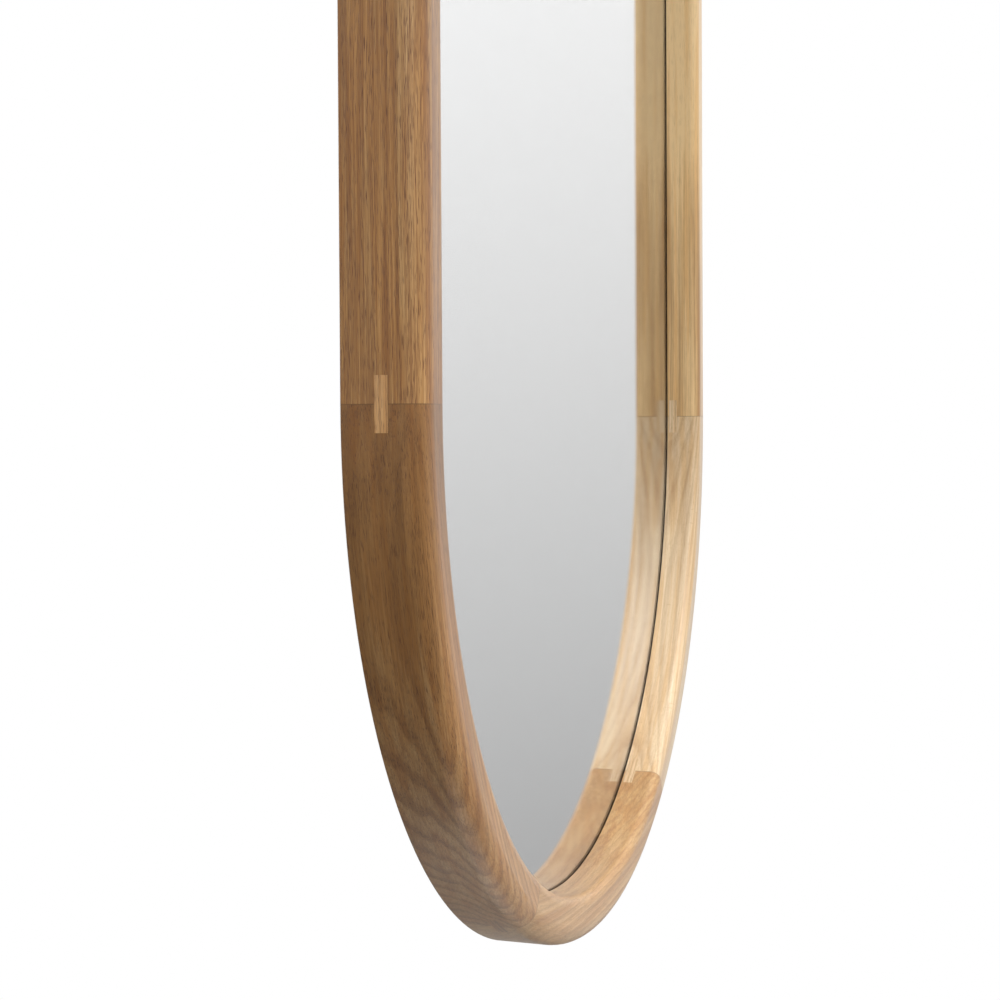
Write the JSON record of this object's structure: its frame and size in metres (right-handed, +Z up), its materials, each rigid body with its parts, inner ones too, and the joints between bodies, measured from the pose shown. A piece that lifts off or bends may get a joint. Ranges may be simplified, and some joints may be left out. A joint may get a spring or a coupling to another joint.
{
  "type": "wall mirror",
  "caption": "Pill-shaped wall mirror: recessed glass in a deep, rounded oak frame of straight bars and arc segments joined by loose splines, with hangers and a back panel held by turn buttons.",
  "frame": {"origin": "on the wall plane, midway between the two wall screws that the D-rings hang on", "axes": "-Y out of the wall towards the room, +Z up, +X to the right as seen from the room"},
  "size_m": [0.6, 0.0436, 1.7],
  "materials": {
    "oak_stile": "satin",
    "oak_arc": "satin",
    "oak_spline": "satin",
    "clear_glass": "gloss",
    "silvering": "polished",
    "black_tape": "matte",
    "foam_sheet": "matte",
    "birch_ply": "satin",
    "zinc_steel": "satin",
    "ring_steel": "polished",
    "screw_steel": "satin",
    "bumper_rubber": "matte"
  },
  "bodies": {
    "mirror": {"back_panel": "birch_ply", "bottom_arc": "oak_arc", "cushion_sheet": "foam_sheet", "hanger_screws": "screw_steel", "left_stile": "oak_stile", "lower_left_arc": "oak_arc", "lower_right_arc": "oak_arc", "mirror_pane": "clear_glass", "rebate_tape": "black_tape", "right_stile": "oak_stile", "silver_backing": "silvering", "spline_lower_left_haunch": "oak_spline", "spline_lower_left_spring": "oak_spline", "spline_lower_right_haunch": "oak_spline", "spline_lower_right_spring": "oak_spline", "spline_upper_left_haunch": "oak_spline", "spline_upper_left_spring": "oak_spline", "spline_upper_right_haunch": "oak_spline", "spline_upper_right_spring": "oak_spline", "strap_hanger_left": "zinc_steel", "strap_hanger_right": "zinc_steel", "top_arc": "oak_arc", "turn_button_screws": "screw_steel", "upper_left_arc": "oak_arc", "upper_right_arc": "oak_arc", "wall_bumpers": "bumper_rubber"},
    "turn_button_lower_left_arc": {"turn_button_lower_left_arc": "zinc_steel"},
    "turn_button_lower_left_stile": {"turn_button_lower_left_stile": "zinc_steel"},
    "turn_button_lower_right_arc": {"turn_button_lower_right_arc": "zinc_steel"},
    "turn_button_lower_right_stile": {"turn_button_lower_right_stile": "zinc_steel"},
    "turn_button_upper_left_arc": {"turn_button_upper_left_arc": "zinc_steel"},
    "turn_button_upper_left_stile": {"turn_button_upper_left_stile": "zinc_steel"},
    "turn_button_upper_right_arc": {"turn_button_upper_right_arc": "zinc_steel"},
    "turn_button_upper_right_stile": {"turn_button_upper_right_stile": "zinc_steel"},
    "hanger_ring_left": {"hanger_ring_left": "ring_steel"},
    "hanger_ring_right": {"hanger_ring_right": "ring_steel"}
  },
  "joints": [
    {"name": "button_lower_left_arc_swivel", "type": "hinge", "parent": "mirror", "child": "turn_button_lower_left_arc", "pos_m": [-0.11856, -0.0041, -1.2663], "axis": [0, 1, 0], "continuous": true},
    {"name": "button_lower_left_stile_swivel", "type": "hinge", "parent": "mirror", "child": "turn_button_lower_left_stile", "pos_m": [-0.293, -0.0041, -0.71], "axis": [0, 1, 0], "continuous": true},
    {"name": "button_lower_right_arc_swivel", "type": "hinge", "parent": "mirror", "child": "turn_button_lower_right_arc", "pos_m": [0.11856, -0.0041, -1.2663], "axis": [0, 1, 0], "continuous": true},
    {"name": "button_lower_right_stile_swivel", "type": "hinge", "parent": "mirror", "child": "turn_button_lower_right_stile", "pos_m": [0.293, -0.0041, -0.71], "axis": [0, 1, 0], "continuous": true},
    {"name": "button_upper_left_arc_swivel", "type": "hinge", "parent": "mirror", "child": "turn_button_upper_left_arc", "pos_m": [-0.11856, -0.0041, 0.3663], "axis": [0, 1, 0], "continuous": true},
    {"name": "button_upper_left_stile_swivel", "type": "hinge", "parent": "mirror", "child": "turn_button_upper_left_stile", "pos_m": [-0.293, -0.0041, -0.19], "axis": [0, 1, 0], "continuous": true},
    {"name": "button_upper_right_arc_swivel", "type": "hinge", "parent": "mirror", "child": "turn_button_upper_right_arc", "pos_m": [0.11856, -0.0041, 0.3663], "axis": [0, 1, 0], "continuous": true},
    {"name": "button_upper_right_stile_swivel", "type": "hinge", "parent": "mirror", "child": "turn_button_upper_right_stile", "pos_m": [0.293, -0.0041, -0.19], "axis": [0, 1, 0], "continuous": true},
    {"name": "ring_left_swing", "type": "hinge", "parent": "mirror", "child": "hanger_ring_left", "pos_m": [-0.291, -0.0022, -0.0126], "axis": [-1, 0, 0], "range_deg": [0, 175]},
    {"name": "ring_right_swing", "type": "hinge", "parent": "mirror", "child": "hanger_ring_right", "pos_m": [0.291, -0.0022, -0.0126], "axis": [-1, 0, 0], "range_deg": [0, 175]}
  ]
}
